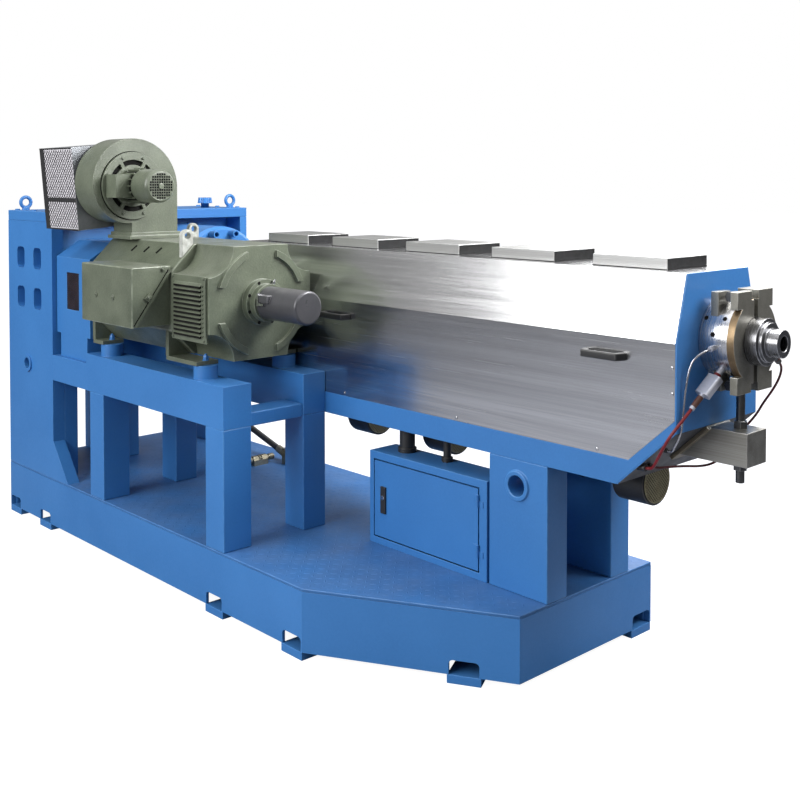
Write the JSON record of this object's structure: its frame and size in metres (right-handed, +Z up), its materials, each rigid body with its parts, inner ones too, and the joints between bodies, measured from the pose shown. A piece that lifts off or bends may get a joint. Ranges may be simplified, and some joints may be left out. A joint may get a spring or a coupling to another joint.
{
  "type": "plastic extruder",
  "caption": "Single-screw plastic extruder: hooded barrel with clamp and nozzle, gearbox, blower-cooled motor and control box on a welded base.",
  "frame": {"origin": "middle of the machine's plan at floor level", "axes": "+X along the barrel towards the nozzle, +Y to the rear, +Z up"},
  "size_m": [3.495, 1.189, 1.7183],
  "materials": {
    "black_plastic": "moulded black",
    "black_rubber": "smooth",
    "blue_paint": "satin enamel paint on welded steel",
    "cast_steel": "sanded bare steel",
    "dark_steel": "oiled steel",
    "galvanised_sheet": "galvanised sheet",
    "motor_paint": "grey-green semi-gloss machine paint",
    "red_rubber": "smooth",
    "sensor_grey": "grey lacquer",
    "stainless_sheet": "brushed along the length",
    "turned_steel": "turned and polished",
    "white_paint": "white paint, worn",
    "zinc_casting": "bead blasted"
  },
  "bodies": {
    "machine": {"barrel": "cast_steel", "barrel_saddle": "blue_paint", "base_deck": "blue_paint", "base_skirts": "blue_paint", "blower_base": "motor_paint", "blower_casing": "motor_paint", "blower_motor": "motor_paint", "bracket": "cast_steel", "cable_glands": "black_plastic", "cable_plugs": "zinc_casting", "clamp_bolts": "dark_steel", "clamp_front_jaw": "cast_steel", "clamp_rear_jaw": "cast_steel", "control_box": "blue_paint", "control_box_frame": "blue_paint", "cooling_fans": "black_plastic", "coupling_guard": "blue_paint", "die_collar": "turned_steel", "door_hinges": "blue_paint", "feed_throat": "turned_steel", "filter_box": "galvanised_sheet", "foot_pads": "blue_paint", "front_beam": "blue_paint", "gear_case": "blue_paint", "gearbox_front_wall": "blue_paint", "gearbox_legs": "blue_paint", "gearbox_rear_wall": "blue_paint", "gearbox_top": "blue_paint", "heater_cable": "red_rubber", "hood_end_plate": "blue_paint", "hood_feed_plate": "blue_paint", "hood_front_panel": "stainless_sheet", "hood_handles": "black_plastic", "hood_rear_panel": "stainless_sheet", "hood_top": "stainless_sheet", "lifting_eyes": "blue_paint", "louvre_cover": "motor_paint", "motor_end_bell": "motor_paint", "motor_feet": "motor_paint", "motor_lifting_lugs": "white_paint", "motor_posts": "blue_paint", "motor_yoke": "motor_paint", "nozzle": "turned_steel", "oil_cap": "blue_paint", "oil_fittings": "turned_steel", "oil_hose": "black_rubber", "pillar_legs": "blue_paint", "pressure_pipe": "turned_steel", "prop_screw": "dark_steel", "rear_beam": "blue_paint", "sensor_cable": "red_rubber", "stand_cross_member": "blue_paint", "tail_sensor": "sensor_grey", "terminal_box_base": "motor_paint", "terminal_box_cover": "motor_paint", "thrust_housing": "blue_paint", "tray_sides": "blue_paint", "vent_caps": "stainless_sheet"},
    "control_door": {"control_box_door": "blue_paint", "door_lock": "black_plastic"}
  },
  "joints": [
    {"name": "control_door_hinge", "type": "hinge", "parent": "machine", "child": "control_door", "pos_m": [0.799, 0.026, 0.4025], "axis": [0, 0, 1], "range_deg": [0, 110]}
  ]
}
